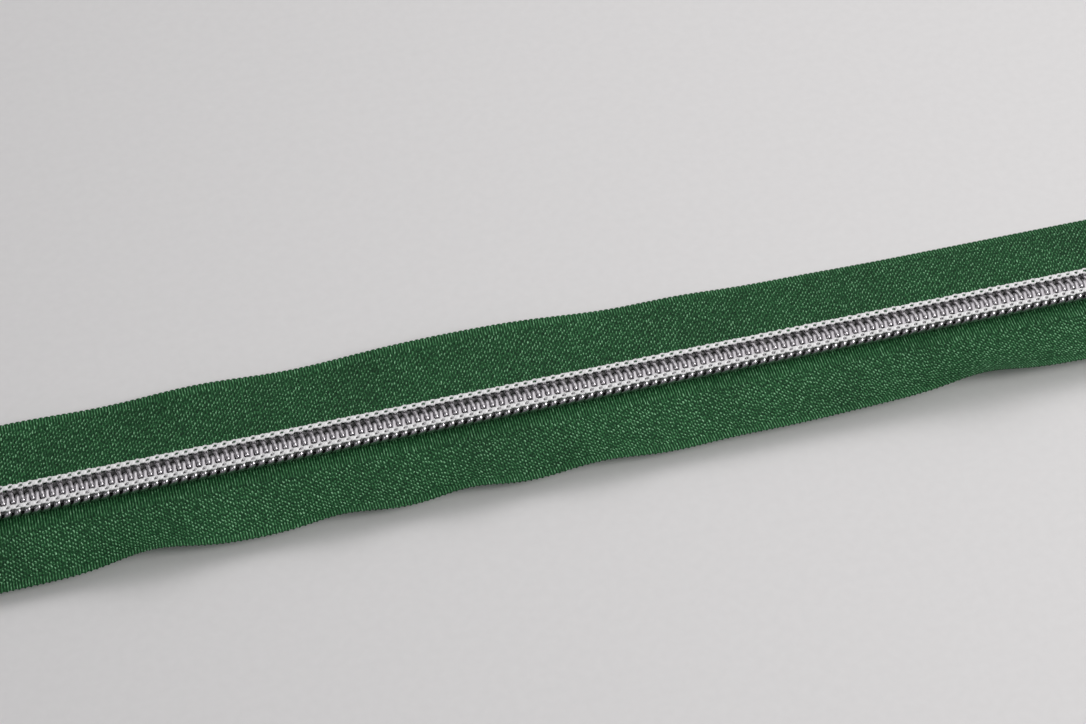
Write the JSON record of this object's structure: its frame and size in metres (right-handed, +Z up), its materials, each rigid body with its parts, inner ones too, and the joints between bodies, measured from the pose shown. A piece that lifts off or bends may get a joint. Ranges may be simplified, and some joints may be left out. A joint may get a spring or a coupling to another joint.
{
  "type": "zipper",
  "caption": "Closed-end coil zipper: two woven tapes with interlocking sewn coils, a locking slider with a pull, and end stops.",
  "frame": {"origin": "on the table, under the middle of the closed zipper", "axes": "+X along the chain towards the top end and the slider, +Y towards the left tape, +Z up from the tape's underside to the coils"},
  "size_m": [0.26, 0.0344, 0.0085],
  "materials": {
    "tape": "woven green polyester with a ribbed border and a twill middle",
    "coil": "silver metallised monofilament",
    "stitch_thread": "white spun polyester sewing thread",
    "core_cord": "charcoal braided cord",
    "die_cast": "nickel plated zinc die casting",
    "stamped_metal": "nickel plated stamped metal",
    "spring_steel": "bright spring steel",
    "stop_metal": "bright pressed aluminium"
  },
  "bodies": {
    "lower_end": {"bottom_stop": "stop_metal", "left_tape_lower_end": "tape", "right_tape_lower_end": "tape"},
    "left_stringer": {"left_tape": "tape", "left_coil": "coil", "left_core_cord": "core_cord", "left_chain_stitch": "stitch_thread", "left_needle_thread": "stitch_thread", "left_top_stop": "stop_metal"},
    "right_stringer": {"right_tape": "tape", "right_coil": "coil", "right_core_cord": "core_cord", "right_chain_stitch": "stitch_thread", "right_needle_thread": "stitch_thread", "right_top_stop": "stop_metal"},
    "slider": {"slider_body": "die_cast", "slider_cap": "stamped_metal", "lock_spring": "spring_steel"},
    "pawl": {"lock_pawl": "spring_steel"},
    "pull": {"pull_tab": "die_cast"}
  },
  "joints": [
    {"name": "slider_travel", "type": "slide", "parent": "lower_end", "child": "slider", "axis": [-1, 0, 0], "range_m": [0, 0.207]},
    {"name": "left_stringer_opening", "type": "hinge", "parent": "lower_end", "child": "left_stringer", "pos_m": [-0.103, 0.00105, 0.0029], "axis": [0, 0, 1], "range_deg": [0, 12.1], "deforming": ["left_tape", "left_coil", "left_core_cord", "left_chain_stitch", "left_needle_thread"]},
    {"name": "right_stringer_opening", "type": "hinge", "parent": "lower_end", "child": "right_stringer", "pos_m": [-0.103, -0.00105, 0.0029], "axis": [0, 0, -1], "range_deg": [0, 12.1], "deforming": ["right_tape", "right_coil", "right_core_cord", "right_chain_stitch", "right_needle_thread"]},
    {"name": "pull_swing", "type": "hinge", "parent": "slider", "child": "pull", "pos_m": [0.1032, 0, 0.0072], "axis": [0, -1, 0], "range_deg": [0, 192]},
    {"name": "lock_lift", "type": "hinge", "parent": "slider", "child": "pawl", "pos_m": [0.1066, 0, 0.00597], "axis": [0, 1, 0], "range_deg": [0, 5], "stiffness_Nm_per_rad": 0.05, "springref_deg": -5.73}
  ],
  "couplings": [
    {"joint": "left_stringer_opening", "follows": "slider_travel", "rad_per_m": 1.014},
    {"joint": "right_stringer_opening", "follows": "slider_travel", "rad_per_m": 1.014}
  ]
}
